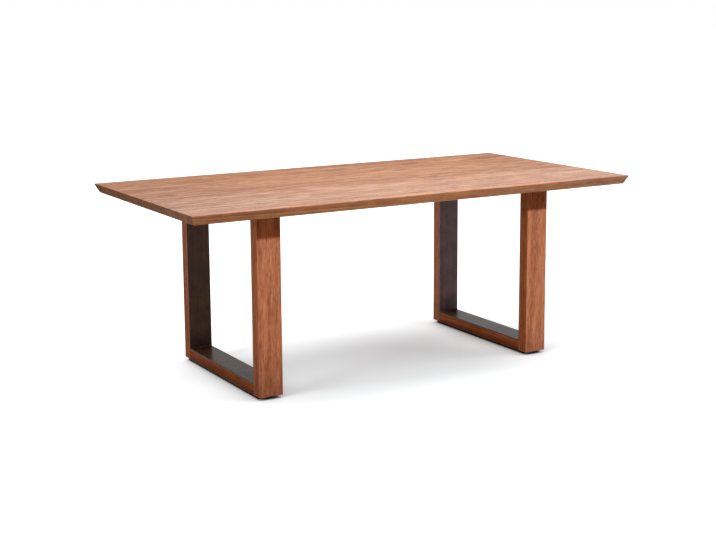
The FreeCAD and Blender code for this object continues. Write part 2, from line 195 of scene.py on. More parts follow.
def split_axes(tree, vector):
    """The three parts of a vector."""
    return add_node(tree, "ShaderNodeSeparateXYZ", {0: vector}).outputs


def object_spot(tree):
    """Where a point is on the piece, in metres."""
    return add_node(tree, "ShaderNodeTexCoord").outputs["Object"]


def remap(tree, value, low, high, new_low=0.0, new_high=1.0):
    """Moves a value from one range to another along a soft curve, held at both ends."""
    inputs = {"Value": value, "From Min": low, "From Max": high, "To Min": new_low, "To Max": new_high}
    return add_node(tree, "ShaderNodeMapRange", inputs, interpolation_type="SMOOTHSTEP").outputs[0]


print("node helpers ready")

# %% [markdown]
# ## Helpers for colour, noise and relief
# Colours are written as they look on a screen, from 0 to 255, and turned into the linear values
# that Blender works with. Nearly every finish here is made of noise. One helper stretches a noise,
# so that the same call makes fibres, scuffs and clouds. Another joins a finish's colour, gloss and
# relief to its shader, and the last puts a finish on a solid.

# %% Finish helpers
def screen_colour(red, green, blue):
    """A colour as it looks on a screen, 0 to 255, in the linear values of Blender."""
    linear = []
    for part in (red, green, blue):
        level = part / 255
        linear.append(level / 12.92 if level <= 0.04045 else ((level + 0.055) / 1.055) ** 2.4)
    return (*linear, 1.0)


def mix_colour(tree, amount, first, second):
    """Lays the second colour over the first."""
    inputs = {0: amount, 6: first, 7: second}
    return add_node(tree, "ShaderNodeMix", inputs, data_type="RGBA").outputs[2]


def tint(tree, colour, value, saturation=1.0):
    """The colour with its brightness and its saturation multiplied."""
    inputs = {"Color": colour, "Value": value, "Saturation": saturation}
    return add_node(tree, "ShaderNodeHueSaturation", inputs).outputs[0]


def stretched_noise(tree, vector, stretch, detail=2.0, roughness=0.5):
    """Noise whose blotches are 1 / stretch metres long in each direction."""
    scaled = vector_calc(tree, "MULTIPLY", vector, stretch)
    inputs = {"Vector": scaled, "Scale": 1.0, "Detail": detail, "Roughness": roughness}
    return add_node(tree, "ShaderNodeTexNoise", inputs).outputs["Fac"]


def new_finish(name):
    """An empty material with its shader; gives the material, its tree and the shader."""
    finish = bpy.data.materials.new(name)
    finish.use_nodes = True
    shader = finish.node_tree.nodes["Principled BSDF"]
    return finish, finish.node_tree, shader


def join_finish(tree, shader, colour, gloss, height, strength, depth):
    """Joins a colour, a roughness and a relief of that depth (metres) to the shader."""
    relief = add_node(tree, "ShaderNodeBump", {"Strength": strength, "Distance": depth, "Height": height})
    tree.links.new(colour, shader.inputs["Base Color"])
    tree.links.new(gloss, shader.inputs["Roughness"])
    tree.links.new(relief.outputs[0], shader.inputs["Normal"])


def dress(node_name, finish):
    """Puts a finish on a solid of the frame."""
    piece = nodes[node_name]
    piece.data.materials.clear()
    piece.data.materials.append(finish)


print("finish helpers ready")

# %% [markdown]
# ## The white floor
# The floor is a plain pale sheet. Lamps that made it quite white would also make its shadows hard, so a
# part of its white is a glow. Light Path tells what kind of ray has met the floor. A ray from the camera,
# or one that a shiny face sends on, sees the pale sheet and its glow. A diffuse ray meets a dull brown
# sheet, so little light goes back up under the top. The glow is weakest under the table and grows
# outwards in a box with round corners, so it paints a soft shade under the top. Ambient occlusion takes
# it away where a foot meets the floor, which paints a contact shadow there.

# %% Mix the floor's finish
# Less glow under the table paints a soft shade there.
GLOW_UNDER = 0.35
GLOW_ROUND = 0.90
SHADE_MIDDLE = (-0.04, -0.14, 0.0)
SHADE_REACH = (0.92, 0.54, 1.0)
SHADE_START = 0.36
SHADE_END = 1.40
CONTACT_REACH = 0.15
CONTACT_CLOSED = 0.12
CONTACT_OPEN = 0.92
FLOOR_BOUNCE = (0.36, 0.25, 0.17, 1.0)
FLOOR_PALE = (0.90, 0.97, 1.0, 1.0)


def seen_rays(tree):
    """1 for a ray from the camera, off a shiny face or through glass, and 0 for a diffuse ray."""
    path = add_node(tree, "ShaderNodeLightPath").outputs
    shiny = calc(tree, "MAXIMUM", path["Is Glossy Ray"], path["Is Transmission Ray"])
    return calc(tree, "MAXIMUM", path["Is Camera Ray"], shiny)


def floor_glow_and_painted_shade(tree):
    """How much the floor glows: little under the table and nothing where a foot touches it, which paints
    a soft shade and a contact shadow.
    """
    away = vector_calc(tree, "SUBTRACT", object_spot(tree), SHADE_MIDDLE)
    reach = vector_calc(tree, "DIVIDE", away, SHADE_REACH)
    squared = vector_calc(tree, "MULTIPLY", reach, reach)
    far = calc(tree, "POWER", vector_calc(tree, "DOT_PRODUCT", squared, squared), 0.25)
    level = remap(tree, far, SHADE_START, SHADE_END, GLOW_UNDER, GLOW_ROUND)
    # Ambient occlusion paints a contact shadow where a foot meets the floor.
    contact = add_node(tree, "ShaderNodeAmbientOcclusion", {"Distance": CONTACT_REACH}, samples=16)
    open_sky = remap(tree, contact.outputs["AO"], CONTACT_CLOSED, CONTACT_OPEN)
    return calc(tree, "MULTIPLY", open_sky, level)


floor_finish, tree, shader = new_finish("studio_floor_white")
tree.nodes.remove(shader)
bounced = add_node(tree, "ShaderNodeBsdfDiffuse", {"Color": FLOOR_BOUNCE}).outputs[0]
lit = add_node(tree, "ShaderNodeBsdfDiffuse", {"Color": FLOOR_PALE}).outputs[0]
glow = add_node(tree, "ShaderNodeEmission", {"Strength": floor_glow_and_painted_shade(tree)}).outputs[0]
bright = add_node(tree, "ShaderNodeAddShader", {0: lit, 1: glow}).outputs[0]
both = add_node(tree, "ShaderNodeMixShader", {0: seen_rays(tree), 1: bounced, 2: bright}).outputs[0]
tree.links.new(both, tree.nodes["Material Output"].inputs["Surface"])
print("floor nodes:", len(tree.nodes))

# %% [markdown]
# ## The sheet itself
# One square sheet is enough, far wider than the table, so that no view shows where it ends.

# %% Lay the floor
FLOOR_HALF = 40.0

floor_shape = bmesh.new()
bmesh.ops.create_grid(floor_shape, x_segments=1, y_segments=1, size=FLOOR_HALF)
floor_mesh = bpy.data.meshes.new("studio_floor")
floor_shape.to_mesh(floor_mesh)
floor_shape.free()
floor = bpy.data.objects.new("studio_floor", floor_mesh)
floor_mesh.materials.append(floor_finish)
scene.collection.objects.link(floor)
print("floor", 2 * FLOOR_HALF, "m wide")

# %% [markdown]
# ## Flags and sky
# On a set, a black flag on a stand keeps a lamp's light off one thing. Light linking does the same
# here: the lamps of the table don't reach the floor, and the floor lamps don't reach the table. The
# key lamp is also kept off the two rear bars, because they look shaded in the picture. The sky is a
# faint even fill, and it is white only to rays that are seen.

# %% Set the flags and the sky
SKY_FILL = 0.09


def flag_off(lamp, *shaded):
    """Keeps a lamp's light off these objects, as a flag on a stand does."""
    behind_flag = bpy.data.collections.new("flagged_from_" + lamp.name)
    lamp.light_linking.receiver_collection = behind_flag
    for piece in shaded:
        behind_flag.objects.link(piece)
    for link in behind_flag.collection_objects:
        link.light_linking.link_state = "EXCLUDE"


floor_only = bpy.data.collections.new("lit_by_floor_lamps")
floor_only.objects.link(floor)
for lamp in floor_lamps:
    lamp.light_linking.receiver_collection = floor_only
for lamp in (overhead, *near_fills, *far_fills):
    flag_off(lamp, floor)
flag_off(front_key, floor, nodes["left_liner_rear"], nodes["right_liner_rear"])

world = bpy.data.worlds.new("studio_sky")
scene.world = world
world.use_nodes = True
sky_tree = world.node_tree
sky = sky_tree.nodes["Background"]
sky.inputs["Color"].default_value = (*WHITE, 1.0)
sky_tree.links.new(remap(sky_tree, seen_rays(sky_tree), 0.0, 1.0, SKY_FILL, 1.0), sky.inputs["Strength"])
print("flags set, sky fill", SKY_FILL)

# %% [markdown]
# ## Oak, part one: where a point lies in its board
# Painted-on stripes give oak away at every corner, because the lines on two faces don't meet. Real
# figure is the cut through a trunk. So the finish is a solid block of wood: each point is measured
# along the grain, across it and through the thickness, and every face is a true cut through the
# same growth rings. A Mapping node turns the block so that its grain runs along the board.

# %% Board coordinates
TURN_TO_GRAIN = {
    "x": (0.0, 0.0, 0.0),
    "y": (0.0, 0.0, -math.pi / 2),
    "z": (0.0, math.pi / 2, 0.0),
}


def board_space(tree, node_name, grain):
    """Object coordinates, centred on the board and turned so that the first one follows the grain."""
    low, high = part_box(node_name)
    turn = Euler(TURN_TO_GRAIN[grain])
    centre = turn.to_matrix() @ ((low + high) / 2)
    inputs = {"Vector": object_spot(tree), "Location": -centre, "Rotation": turn}
    return add_node(tree, "ShaderNodeMapping", inputs, vector_type="POINT").outputs[0]


print("grain directions:", sorted(TURN_TO_GRAIN))

# %% [markdown]
# ## Oak, part two: growth rings and knots
# A ring is everything at one distance from the pith, the middle of the trunk. That distance is
# worked out for each point, with a slow wander so that no line is straight, and fed to a noise that
# varies along one direction only. Good and bad years then have different widths. A board that is
# cut near the pith shows long pointed arches, and one cut far to the side shows straight lines. A
# knot is a branch that pushes the rings up, so it simply adds a small hill to the distance.

# %% Growth rings
RING_SCALE = 105.0
WANDER = 0.030
WANDER_STRETCH = (1.6, 7.0, 7.0)
KNOT_RISE = 0.022


def knot_hill(tree, split, knot):
    """1 at a knot's middle, falling to 0 round it. A knot is (along, across, length, width)."""
    along, across, length, width = knot
    far_along = calc(tree, "DIVIDE", calc(tree, "SUBTRACT", split[0], along), length)
    far_across = calc(tree, "DIVIDE", calc(tree, "SUBTRACT", split[1], across), width)
    along_squared = calc(tree, "MULTIPLY", far_along, far_along)
    across_squared = calc(tree, "MULTIPLY", far_across, far_across)
    squared = calc(tree, "ADD", along_squared, across_squared)
    return calc(tree, "EXPONENT", weigh(tree, squared, -1.0))


def growth_rings(tree, space, pith, lean, hills):
    """Ring tone, 0 to 1. pith is how far the trunk's middle is across and below the board."""
    slow = vector_calc(tree, "MULTIPLY", space, WANDER_STRETCH)
    drift = add_node(tree, "ShaderNodeTexNoise", {"Vector": slow, "Scale": 1.0, "Detail": 2.0})
    drifts = split_axes(tree, drift.outputs["Color"])
    place = split_axes(tree, space)
    offsets = []
    for axis in (1, 2):
        shifted = calc(tree, "SUBTRACT", place[axis], pith[axis - 1])
        wander = weigh(tree, calc(tree, "SUBTRACT", drifts[axis], 0.5), WANDER)
        offsets.append(calc(tree, "ADD", shifted, wander))
    offsets[1] = calc(tree, "ADD", offsets[1], weigh(tree, place[0], lean))
    flat = add_node(tree, "ShaderNodeCombineXYZ", {1: offsets[0], 2: offsets[1]}).outputs[0]
    distance = vector_calc(tree, "LENGTH", flat)
    for hill in hills:
        distance = calc(tree, "ADD", distance, weigh(tree, hill, KNOT_RISE))
    inputs = {"W": distance, "Scale": RING_SCALE, "Detail": 3.0, "Roughness": 0.62}
    return add_node(tree, "ShaderNodeTexNoise", inputs, noise_dimensions="1D").outputs["Fac"]


print("ring spacing near", round(1000 / RING_SCALE, 1), "mm")

# %% [markdown]
# ## Oak, part three: edges that hands have rubbed
# Lacquered oak wears first where hands, chairs and cloths meet it, along the arrises. The distance
# from a point on a face to the nearest edge of its box is the middle one of its three distances to
# the box's sides. A little noise breaks the worn strip up, so it isn't a drawn line.

# %% Edge wear
WEAR_PATCHES = (38.0, 38.0, 38.0)


def near_edge(tree, low, high, width):
    """1 on the edges of a box, falling to 0 over a broken strip of that width."""
    spot = object_spot(tree)
    folded = vector_calc(tree, "ABSOLUTE", vector_calc(tree, "SUBTRACT", spot, (low + high) / 2))
    gaps = split_axes(tree, vector_calc(tree, "SUBTRACT", (high - low) / 2, folded))
    smaller = calc(tree, "MINIMUM", gaps[0], gaps[1])
    larger = calc(tree, "MAXIMUM", gaps[0], gaps[1])
    middle = calc(tree, "MAXIMUM", smaller, calc(tree, "MINIMUM", larger, gaps[2]))
    patchy = stretched_noise(tree, spot, WEAR_PATCHES, detail=3.0, roughness=0.6)
    reach = weigh(tree, patchy, 2.0 * width)
    return remap(tree, calc(tree, "DIVIDE", middle, reach), 0.25, 1.0, 1.0, 0.0)


print("edge wear ready")

# %% [markdown]
# ## Oak, part four: figure
# The tone of a point is a sum of its ring, a broad cloud, a mottle, a streak and the fibres, each a
# noise drawn out along the grain. The top is cut from wilder boards, so its rings count for more.
# The frames are cut from straighter ones, where streaks and fibres lead. A ramp of three colours
# then turns the tone into stained wood.

# %% Oak figure
TOP_FIGURE = {
    "tones": (screen_colour(114, 64, 32), screen_colour(176, 115, 69), screen_colour(212, 156, 106)),
    "shares": (0.25, 0.15, 0.22, 0.22, 0.16),
    "streak": (13.0, 210.0, 210.0),
    "fibre": (30.0, 700.0, 700.0),
}
FRAME_FIGURE = {
    "tones": (screen_colour(131, 77, 52), screen_colour(173, 114, 83), screen_colour(197, 140, 108)),
    "shares": (0.18, 0.14, 0.16, 0.30, 0.22),
    "streak": (15.0, 330.0, 330.0),
    "fibre": (36.0, 900.0, 900.0),
}
BROAD_CLOUD = (1.3, 9.0, 9.0)
MOTTLE = (9.0, 38.0, 38.0)
DARK_TONE = 0.40
PALE_TONE = 0.60


def oak_tone(tree, space, rings, figure):
    """The tone of the wood, from dark to pale, and the streaks and fibres in it."""
    broad = stretched_noise(tree, space, BROAD_CLOUD, detail=2.0)
    mottle = stretched_noise(tree, space, MOTTLE, detail=3.0, roughness=0.6)
    streak = stretched_noise(tree, space, figure["streak"], detail=2.0, roughness=0.6)
    fibre = stretched_noise(tree, space, figure["fibre"], detail=2.0, roughness=0.6)
    tone = weigh(tree, rings, figure["shares"][0])
    for part, share in zip((broad, mottle, streak, fibre), figure["shares"][1:]):
        tone = calc(tree, "ADD", tone, weigh(tree, part, share))
    return tone, streak, fibre


def oak_colour(tree, tone, tones):
    """Stained wood of that tone, out of a dark, a middle and a pale colour."""
    ramp = add_node(tree, "ShaderNodeValToRGB", {0: tone})
    stops = ramp.color_ramp.elements
    stops[0].position = DARK_TONE
    stops[0].color = tones[0]
    stops[1].position = PALE_TONE
    stops[1].color = tones[2]
    stops.new((DARK_TONE + PALE_TONE) / 2).color = tones[1]
    return ramp.outputs[0]


print("oak figures: top and frame")

# %% [markdown]
# ## Oak, part five: pores, rays, stain and painted shade
# Pores are short dark dashes that crowd into the early wood of each ring, and rays are pale flecks.
# Stain goes deeper where the wood is open, so a face that looks along the grain turns darker. A board may
# also be darker on the sides beside its show face, or towards one end. Those two follow the picture, and
# they are partly stain and partly painted shade.

# %% Pores, rays, stain and painted shade
OAK_PORE = screen_colour(98, 50, 29)
PORE_DASH = (60.0, 1100.0, 1100.0)
PORE_BAND = (24.0, 330.0, 330.0)
RAY_FLECK = (46.0, 300.0, 300.0)
END_CUT = {"value": 0.46, "saturation": 0.94}
SIDE_STAIN_AND_SHADE = {"value": 0.52, "saturation": 1.44}


def oak_pores(tree, space, rings):
    """1 in a pore and 0 between them."""
    dashes = stretched_noise(tree, space, PORE_DASH, detail=1.0)
    bands = stretched_noise(tree, space, PORE_BAND, detail=1.0)
    early_wood = remap(tree, calc(tree, "ADD", rings, bands), 0.86, 1.14, 1.0, 0.05)
    return calc(tree, "MULTIPLY", remap(tree, dashes, 0.50, 0.66), early_wood)


def oak_rays(tree, space):
    """1 in a ray fleck and 0 between them."""
    return remap(tree, stretched_noise(tree, space, RAY_FLECK, detail=1.0), 0.62, 0.75)


def shaded_tone(tree, split, tone, shade):
    """A tone that is darker towards one end of a board, a painted shade. See the frames for what a shade
    is.
    """
    axis, start, end, depth = shade
    return remap(tree, split[axis], start, end, tone * (1.0 - depth), tone)


def stain_and_shade_by_cut(tree, colour, grain, side_stain_and_shade, show_axis):
    """Darkens the end grain, and the sides beside the show face with stain and painted shade; gives the
    colour and the end grain.
    """
    facing = add_node(tree, "ShaderNodeNewGeometry").outputs["Normal"]
    turned = split_axes(tree, facing)
    along = calc(tree, "ABSOLUTE", turned["xyz".index(grain)])
    end_grain = remap(tree, along, 0.45, 0.75)
    end_cut = tint(tree, colour, **END_CUT)
    if side_stain_and_shade:
        shown = calc(tree, "ABSOLUTE", turned[show_axis])
        # The sides beside the show face get darker: partly stain, partly painted shade.
        beside = remap(tree, shown, 0.80, 0.95, side_stain_and_shade, 0.0)
        colour = mix_colour(tree, beside, colour, tint(tree, colour, **SIDE_STAIN_AND_SHADE))
    return mix_colour(tree, end_grain, colour, end_cut), end_grain


print("pores, rays and stain ready")

# %% [markdown]
# ## Oak, part six: the whole finish
# Here the parts come together. A seed moves each board to its own place in the noise, and a seam
# moves the second strip of a laminated board once more, so the figure breaks at the glue line. The
# lacquer is smoother on pale wood and rubbed edges, and rougher in pores and on end grain. Pores,
# fibres and rings also give a very shallow relief.

# %% Oak
OAK_KNOT = screen_colour(94, 43, 18)
OAK_RUBBED = screen_colour(202, 143, 104)
SEED_STEP = (3.7, 0.61, 0.37)
SEAM_JUMP = (2.3, 0.7, 0.0)
RUBBED_WIDTH = 0.0022
PORE_STAIN = 0.75
RAY_SHINE = 0.16
KNOT_STAIN = 0.8


def oak_finish(node_name, grain, pith, tone, seed, lean=0.03, knots=(), seam=None, wear_box=None,
               wear=0.55, saturation=1.0, shade=None, side_stain_and_shade=0.0, show_axis=2, sheen=0.04,
               rough=0.52, figure=FRAME_FIGURE):
    """Lacquered, stained oak cut from its own place in a trunk."""
    finish, tree, shader = new_finish("oak_" + node_name)
    shader.inputs["Specular IOR Level"].default_value = sheen
    space = board_space(tree, node_name, grain)
    split = split_axes(tree, space)
    hills = [knot_hill(tree, split, knot) for knot in knots]
    moved = vector_calc(tree, "ADD", space, [seed * step for step in SEED_STEP])
    if seam is not None:
        second_strip = calc(tree, "GREATER_THAN", split[2], seam)
        jump = vector_calc(tree, "MULTIPLY", second_strip, SEAM_JUMP)
        moved = vector_calc(tree, "ADD", moved, jump)
        space = vector_calc(tree, "ADD", space, jump)

    rings = growth_rings(tree, space, pith, lean, hills)
    mix, streak, fibre = oak_tone(tree, moved, rings, figure)
    pores = oak_pores(tree, moved, rings)
    # A shade darkens the board towards one end; that is painted shade.
    value = tone if shade is None else shaded_tone(tree, split, tone, shade)
    colour = tint(tree, oak_colour(tree, mix, figure["tones"]), value, saturation)
    colour = mix_colour(tree, weigh(tree, pores, PORE_STAIN), colour, OAK_PORE)
    rays = oak_rays(tree, moved)
    colour = mix_colour(tree, weigh(tree, rays, RAY_SHINE), colour, figure["tones"][2])
    for hill in hills:
        heart = remap(tree, calc(tree, "ADD", hill, weigh(tree, streak, 0.5)), 0.50, 0.95)
        colour = mix_colour(tree, weigh(tree, heart, KNOT_STAIN), colour, OAK_KNOT)
    colour, end_grain = stain_and_shade_by_cut(tree, colour, grain, side_stain_and_shade, show_axis)
    rubbed = near_edge(tree, *(wear_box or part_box(node_name)), RUBBED_WIDTH)
    colour = mix_colour(tree, weigh(tree, rubbed, wear), colour, OAK_RUBBED)

    gloss = remap(tree, mix, DARK_TONE, PALE_TONE, rough + 0.05, rough - 0.05)
    gloss = calc(tree, "ADD", gloss, weigh(tree, pores, 0.25))
    gloss = calc(tree, "ADD", gloss, weigh(tree, rubbed, -0.06))
    gloss = calc(tree, "ADD", gloss, weigh(tree, end_grain, 0.45), clamp=True)
    height = calc(tree, "SUBTRACT", weigh(tree, fibre, 0.35), pores)
    height = calc(tree, "ADD", height, weigh(tree, rings, 0.5))
    join_finish(tree, shader, colour, gloss, height, strength=0.35, depth=0.0004)
    return finish


print("oak finish ready")

# %% [markdown]
# ## The tabletop staves
# Nine staves make the top. A maker lays them out so that neighbours differ a little in tone and cut but
# no joint shouts. Each stave here has its own place in the trunk and its own tone. The knots sit about
# where the picture has dark marks. The front row is two staves, finger-jointed end to end, and the
# shorter one comes from another board. The tones fall and the roughness rises from the front row to the
# rear, as the light does in the picture, so the stave tones hold painted light. The bevel is darker there
# than these lamps make it, so it is darkened further, partly stain and partly painted shade.

# %% Dress the tabletop
TOP_BOX = (Vector((-1.0, -0.5, 0.724)), Vector((1.0, 0.5, 0.760)))
TOP_SHEEN = 0.35
TOP_WEAR = 0.25
# Darker bevels and sides of the staves: partly stain, partly painted shade.
BEVEL_STAIN_AND_SHADE = 0.68

# name: tone, which also holds painted light falling from front to rear, roughness, pith across and below
# (metres), lean, saturation
STAVES = {
    "tabletop_stave_1_long": (1.08, 0.34, (-0.050, -0.085), 0.020, 0.96),
    "tabletop_stave_1_short": (1.09, 0.34, (0.090, -0.060), 0.040, 0.90),
    "tabletop_stave_2": (1.06, 0.34, (0.035, -0.075), -0.025, 0.96),
    "tabletop_stave_3": (1.04, 0.36, (0.005, -0.052), 0.035, 0.97),
    "tabletop_stave_4": (0.97, 0.42, (-0.030, -0.080), -0.020, 1.00),
    "tabletop_stave_5": (0.97, 0.46, (0.060, -0.070), 0.025, 1.00),
    "tabletop_stave_6": (0.98, 0.46, (-0.015, -0.060), -0.030, 1.00),
    "tabletop_stave_7": (0.95, 0.50, (0.045, -0.090), 0.030, 1.02),
    "tabletop_stave_8": (0.92, 0.50, (-0.070, -0.055), -0.020, 1.02),
}
# name: knots, each with its place along and across the stave, its length and its width (metres)
STAVE_KNOTS = {
    "tabletop_stave_2": ((0.41, -0.028, 0.030, 0.008),),
    "tabletop_stave_4": ((0.275, -0.022, 0.040, 0.010), (-0.525, 0.002, 0.022, 0.007)),
    "tabletop_stave_5": ((-0.88, -0.042, 0.042, 0.010), (0.45, 0.012, 0.020, 0.008)),
    "tabletop_stave_6": ((-0.81, 0.002, 0.026, 0.008),),
}

for seed, (stave, (tone, rough, pith, lean, saturation)) in enumerate(STAVES.items()):
    finish = oak_finish(
        stave, "x", pith, tone, seed, lean, knots=STAVE_KNOTS.get(stave, ()), wear_box=TOP_BOX,
        wear=TOP_WEAR, saturation=saturation, side_stain_and_shade=BEVEL_STAIN_AND_SHADE, sheen=TOP_SHEEN, rough=rough,
        figure=TOP_FIGURE)
    dress(stave, finish)
print("staves dressed:", len(STAVES))

# %% [markdown]
# ## The oak frames
# Uprights are cut with the grain standing, rails with the grain running from front to back, so the butt
# joints at the foot show as a change of direction. The front uprights are laminated from two strips, and
# the seam shows on their faces as a change of figure. In the picture the pieces differ in tone, three
# uprights darken towards the foot, the rails darken along the lower edge, and the sides of the front
# uprights are darker. Part of that is light, so these tones and darker ends and sides are partly the wood
# and partly painted light and shade. They are set piece by piece here, so under other lamps they would
# look like stain.

# %% Dress the frames
FIRST_FRAME_SEED = 20

# A painted shade: along which axis of the board, from and to which place (metres), and how much it
# darkens.
PAINTED_FOOT_SHADE_DEEP = (0, -0.40, -0.10, 0.41)
PAINTED_FOOT_SHADE_SHORT = (0, -0.40, -0.22, 0.30)
PAINTED_FOOT_SHADE_LONG = (0, -0.40, 0.0, 0.32)
PAINTED_LOWER_EDGE_SHADE = (2, -0.024, 0.014, 0.60)

# name: grain, tone, saturation, painted shade, stain and painted shade on the sides, pith across and
# through (metres), seam
FRAME_OAK = {
    "left_upright_front": ("z", 1.11, 0.99, PAINTED_FOOT_SHADE_DEEP, 0.22, (0.075, 0.012), 0.007),
    "left_upright_rear": ("z", 0.79, 1.10, None, 0.0, (-0.080, -0.030), None),
    "left_floor_rail": ("y", 0.53, 1.22, PAINTED_LOWER_EDGE_SHADE, 0.0, (0.060, -0.050), None),
    "right_upright_front": ("z", 1.09, 0.98, PAINTED_FOOT_SHADE_SHORT, 0.38, (0.085, -0.025), -0.030),
    "right_upright_rear": ("z", 1.23, 0.88, PAINTED_FOOT_SHADE_LONG, 0.0, (-0.070, 0.020), None),
    "right_floor_rail": ("y", 0.66, 1.12, PAINTED_LOWER_EDGE_SHADE, 0.0, (-0.070, -0.045), None),
}

for seed, (piece, values) in enumerate(FRAME_OAK.items(), start=FIRST_FRAME_SEED):
    grain, tone, saturation, shade, side_darkening, pith, seam = values
    finish = oak_finish(
        piece, grain, pith, tone, seed, seam=seam, saturation=saturation, shade=shade,
        side_stain_and_shade=side_darkening, show_axis=1)
    dress(piece, finish)
print("frame pieces dressed:", len(FRAME_OAK))

# %% [markdown]
# ## Black steel
# The lining and the batten are hot-rolled flat bar under a thin matt black coat. Such a coat is never one
# colour: it pools and thins in soft clouds, keeps the faint lines of the rolling mill, has a fine pebbled
# skin, and thins on the edges until brown metal shows through. The standing bars are also darker towards
# their ends, a painted shade that stands in for the shade that the picture has in the corners. One
# function makes every coat, and the box of the bar tells it where the edges and ends are.

# %% Steel
STEEL_BARE = screen_colour(128, 114, 105)
DEEP_COAT = (screen_colour(72, 60, 55), screen_colour(102, 87, 80))
COAT_CLOUDS = (11.0, 11.0, 11.0)
COAT_SKIN = (1400.0, 1400.0, 1400.0)
THIN_EDGE = 0.0012
CORNER_SHADE_REACH = 0.12
CORNER_SHADE_DEPTH = 0.35


def painted_corner_shade(tree, colour, low, high):
    """The coat with a painted shade, darker towards the foot and the head of a standing bar."""
    level = split_axes(tree, object_spot(tree))[2]
    to_foot = calc(tree, "SUBTRACT", level, low.z)
    to_head = calc(tree, "SUBTRACT", high.z, level)
    to_end = calc(tree, "MINIMUM", to_foot, to_head)
    return tint(tree, colour, remap(tree, to_end, 0.0, CORNER_SHADE_REACH, CORNER_SHADE_DEPTH, 1.0))


def steel_finish(name, low, high, rolled, coat=DEEP_COAT, sheen=0.06, rough=0.42, corner_shade=False):
    """Matt black coat on steel in that box. rolled is the stretch of the mill lines along each axis."""
    finish, tree, shader = new_finish("steel_" + name)
    shader.inputs["Specular IOR Level"].default_value = sheen
    spot = object_spot(tree)
    clouds = stretched_noise(tree, spot, COAT_CLOUDS, detail=4.0, roughness=0.6)
    lines = stretched_noise(tree, spot, rolled, detail=2.0)
    skin = stretched_noise(tree, spot, COAT_SKIN, detail=1.0)
    tone = calc(tree, "ADD", weigh(tree, clouds, 0.65), weigh(tree, lines, 0.35))
    colour = mix_colour(tree, remap(tree, tone, 0.38, 0.62), *coat)
    # Standing bars get a painted shade towards their ends.
    if corner_shade:
        colour = painted_corner_shade(tree, colour, low, high)
    thin = near_edge(tree, low, high, THIN_EDGE)
    colour = mix_colour(tree, weigh(tree, thin, 0.6), colour, STEEL_BARE)
    gloss = remap(tree, tone, 0.38, 0.62, rough - 0.05, rough + 0.05)
    gloss = calc(tree, "ADD", gloss, weigh(tree, skin, 0.08))
    height = calc(tree, "ADD", weigh(tree, skin, 0.7), weigh(tree, lines, 0.6))
    join_finish(tree, shader, colour, gloss, height, strength=0.30, depth=0.0002)
    return finish


print("steel finish ready")

# %% [markdown]
# ## The steel rings
# In the picture the standing bars of the right ring look paler and cooler than those of the left one.
# That is most likely light and not paint, but the lamps here don't give it, so each ring has a coat of
# its own, and the right ring's paler, cooler coat is painted light. The flat bars at the base and the top
# are darker and smoother. At a low angle they mirror the room, and close to the rear bar they mirror that
# instead, so their rear end looks black.

# %% Dress the steel
ROLLED_UP = (420.0, 420.0, 3.0)
ROLLED_BACK = (420.0, 3.0, 420.0)
# The right ring's paler, cooler coat is painted light.
PALE_COAT = (screen_colour(100, 93, 108), screen_colour(134, 127, 146))
BASE_COAT = (screen_colour(42, 27, 19), screen_colour(67, 48, 36))
BASE_ROUGH = 0.24

# side: coat and sheen of the standing bars, sheen of the flat bars
RING_COATS = {
    "left": (DEEP_COAT, 0.14, 0.049),
    "right": (PALE_COAT, 0.18, 0.076),
}

dressed = []
for side, (coat, sheen, base_sheen) in RING_COATS.items():
    for bar in ("front", "rear"):
        name = f"{side}_liner_{bar}"
        dress(name, steel_finish(name, *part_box(name), ROLLED_UP, coat, sheen, corner_shade=True))
        dressed.append(name)
    for bar in ("base", "top_bar"):
        name = f"{side}_liner_{bar}"
        dress(name, steel_finish(name, *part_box(name), ROLLED_BACK, BASE_COAT, base_sheen, BASE_ROUGH))
        dressed.append(name)
batten = "anti_warp_batten"
dress(batten, steel_finish(batten, *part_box(batten), ROLLED_BACK))
dressed.append(batten)
print("steel bars dressed:", len(dressed))

# %% [markdown]
# ## Moulded runners
# The runner under each frame is a moulded strip, nearly black, so that the frame seems to float. A
# mould leaves a fine leathery grain, which a pattern of cells gives, and the floor leaves dusty
# scuffs along the strip.

# %% Dress the runners
RUNNER_BLACK = screen_colour(9, 7, 6)
RUNNER_SCUFFED = screen_colour(24, 20, 18)


def runner_finish():
    """Moulded black plastic with a fine leathery grain and dusty scuffs."""
    finish, tree, shader = new_finish("moulded_runner_black")
    shader.inputs["Specular IOR Level"].default_value = 0.04
    spot = object_spot(tree)
    cells = add_node(
        tree, "ShaderNodeTexVoronoi", {"Vector": spot, "Scale": 900.0}, feature="DISTANCE_TO_EDGE")
    scuffs = stretched_noise(tree, spot, (60.0, 9.0, 240.0), detail=4.0, roughness=0.65)
    worn = remap(tree, scuffs, 0.50, 0.72)
    colour = mix_colour(tree, weigh(tree, worn, 0.5), RUNNER_BLACK, RUNNER_SCUFFED)
    gloss = remap(tree, worn, 0.0, 1.0, 0.52, 0.72)
    join_finish(tree, shader, colour, gloss, cells.outputs["Distance"], strength=0.4, depth=0.0002)
    return finish


runner_black = runner_finish()
for side in RING_COATS:
    dress(f"{side}_floor_runner", runner_black)
print("runners dressed:", len(RING_COATS))

# %% [markdown]
# ## Beech tenons
# The loose tenons are steamed beech: pale, with short brown flecks that follow the grain. They are
# hidden once the frame is glued, but anyone who takes the table apart should know the wood.

# %% Dress the tenons
BEECH_DARK = screen_colour(196, 150, 112)
BEECH_PALE = screen_colour(222, 182, 143)
BEECH_FLECK = screen_colour(140, 92, 60)


